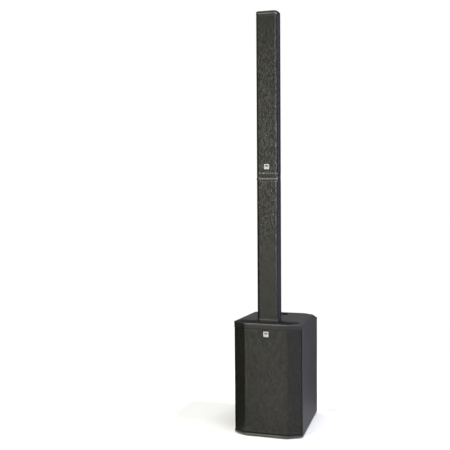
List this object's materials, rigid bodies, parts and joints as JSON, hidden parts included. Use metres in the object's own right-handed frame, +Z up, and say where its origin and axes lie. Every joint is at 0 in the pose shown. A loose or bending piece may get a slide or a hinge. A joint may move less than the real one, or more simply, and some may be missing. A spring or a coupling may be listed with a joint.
{
  "type": "column loudspeaker system",
  "caption": "Subwoofer cabinet with a slim two-part line column plugged into its top; the column lifts apart, and the rear plate has level knobs, sockets and a switch.",
  "frame": {"origin": "middle of the base, on the surface the feet stand on", "axes": "+Z up along the column, the front grille faces -Y, +X is to the right seen from the front"},
  "size_m": [0.3696, 0.54, 2.2],
  "materials": {
    "black_paint": "textured black water-based paint on birch plywood",
    "bare_board": "bare plywood edges and faces inside",
    "black_moulding": "fine-grained black moulding",
    "grille_steel": "powder-coated perforated steel",
    "backing_foam": "open-cell acoustic foam",
    "silver_plate": "satin silver badge",
    "black_rubber": "matt rubber",
    "grey_wadding": "polyester wadding",
    "pressed_frame": "black pressed steel",
    "magnet_iron": "phosphated plates and ferrite",
    "cone_paper": "coated black paper",
    "spider_cloth": "resin-treated cloth",
    "copper_coil": "enamelled winding",
    "black_screws": "black zinc",
    "rear_plate": "powder-coated steel",
    "heatsink_black": "black anodised",
    "circuit_board": "green laminate with parts",
    "socket_plastic": "black glass-filled nylon",
    "lamp_lens": "clear green lens",
    "knob_plastic": "soft-touch grey-black",
    "button_grey": "light grey cap",
    "rocker_red": "gloss red",
    "contact_gold": "gold-plated pins",
    "column_aluminium": "black anodised extrusion",
    "wire_sleeve": "insulated wires"
  },
  "bodies": {
    "cabinet": {"side_panel_left": "black_paint", "side_panel_right": "black_paint", "top_panel": "black_paint", "bottom_panel": "black_paint", "rear_panel": "black_paint", "baffle_board": "bare_board", "cross_brace": "bare_board", "column_tray": "black_moulding", "socket_contacts": "contact_gold", "plinth": "black_moulding", "cabinet_grille": "grille_steel", "grille_foam": "backing_foam", "cabinet_badge": "silver_plate", "handle_cup": "black_moulding", "rubber_feet": "black_rubber", "port_tubes": "black_moulding", "damping_wadding": "grey_wadding", "woofer_basket": "pressed_frame", "woofer_magnet": "magnet_iron", "woofer_surround": "black_rubber", "woofer_spider": "spider_cloth", "woofer_screws": "black_screws", "amp_plate": "rear_plate", "heatsink": "heatsink_black", "amp_board": "circuit_board", "power_supply": "circuit_board", "mains_inlet": "socket_plastic", "signal_jacks": "socket_plastic", "status_leds": "lamp_lens", "plate_screws": "black_screws", "wiring_harness": "wire_sleeve"},
    "woofer_moving": {"woofer_cone": "cone_paper", "dust_cap": "cone_paper", "voice_coil": "copper_coil"},
    "channel_1_control": {"channel_1_knob": "knob_plastic"},
    "channel_2_control": {"channel_2_knob": "knob_plastic"},
    "sub_control": {"sub_knob": "knob_plastic"},
    "master_control": {"master_knob": "knob_plastic"},
    "mode_control": {"mode_button": "button_grey"},
    "power_control": {"power_switch": "rocker_red"},
    "lower_column": {"lower_housing": "column_aluminium", "lower_grille": "grille_steel", "lower_top_cap": "black_moulding", "lower_bottom_cap": "black_moulding", "lower_contacts": "contact_gold", "lower_wires": "wire_sleeve"},
    "upper_column": {"upper_housing": "column_aluminium", "upper_grille": "grille_steel", "upper_top_cap": "black_moulding", "upper_bottom_cap": "black_moulding", "upper_contacts": "contact_gold", "upper_baffle": "black_moulding", "mid_baskets": "pressed_frame", "mid_magnets": "magnet_iron", "mid_surrounds": "black_rubber", "horn": "black_moulding", "horn_driver": "magnet_iron", "crossover_board": "circuit_board", "column_badge": "silver_plate"},
    "mid_moving": {"mid_cones": "cone_paper"}
  },
  "joints": [
    {"name": "woofer_travel", "type": "slide", "parent": "cabinet", "child": "woofer_moving", "axis": [0, -1, 0], "range_m": [-0.008, 0.008], "stiffness_N_per_m": 5000, "deforming": ["woofer_surround", "woofer_spider"]},
    {"name": "channel_1_turn", "type": "hinge", "parent": "cabinet", "child": "channel_1_control", "pos_m": [0.075, 0.25, 0.455], "axis": [0, 1, 0], "range_deg": [-150, 150]},
    {"name": "channel_2_turn", "type": "hinge", "parent": "cabinet", "child": "channel_2_control", "pos_m": [0.025, 0.25, 0.455], "axis": [0, 1, 0], "range_deg": [-150, 150]},
    {"name": "sub_turn", "type": "hinge", "parent": "cabinet", "child": "sub_control", "pos_m": [-0.025, 0.25, 0.455], "axis": [0, 1, 0], "range_deg": [-150, 150]},
    {"name": "master_turn", "type": "hinge", "parent": "cabinet", "child": "master_control", "pos_m": [-0.075, 0.25, 0.455], "axis": [0, 1, 0], "range_deg": [-150, 150]},
    {"name": "mode_press", "type": "slide", "parent": "cabinet", "child": "mode_control", "axis": [0, -1, 0], "range_m": [0, 0.002], "stiffness_N_per_m": 600},
    {"name": "power_rock", "type": "hinge", "parent": "cabinet", "child": "power_control", "pos_m": [0, 0.249, 0.16], "axis": [1, 0, 0], "range_deg": [0, 18]},
    {"name": "lower_column_lift", "type": "slide", "parent": "cabinet", "child": "lower_column", "axis": [0, 0, 1], "range_m": [0, 0.1]},
    {"name": "upper_column_lift", "type": "slide", "parent": "lower_column", "child": "upper_column", "axis": [0, 0, 1], "range_m": [0, 0.08]},
    {"name": "mid_travel", "type": "slide", "parent": "upper_column", "child": "mid_moving", "axis": [0, -1, 0], "range_m": [-0.0015, 0.0015], "stiffness_N_per_m": 4000, "deforming": ["mid_surrounds"]}
  ]
}
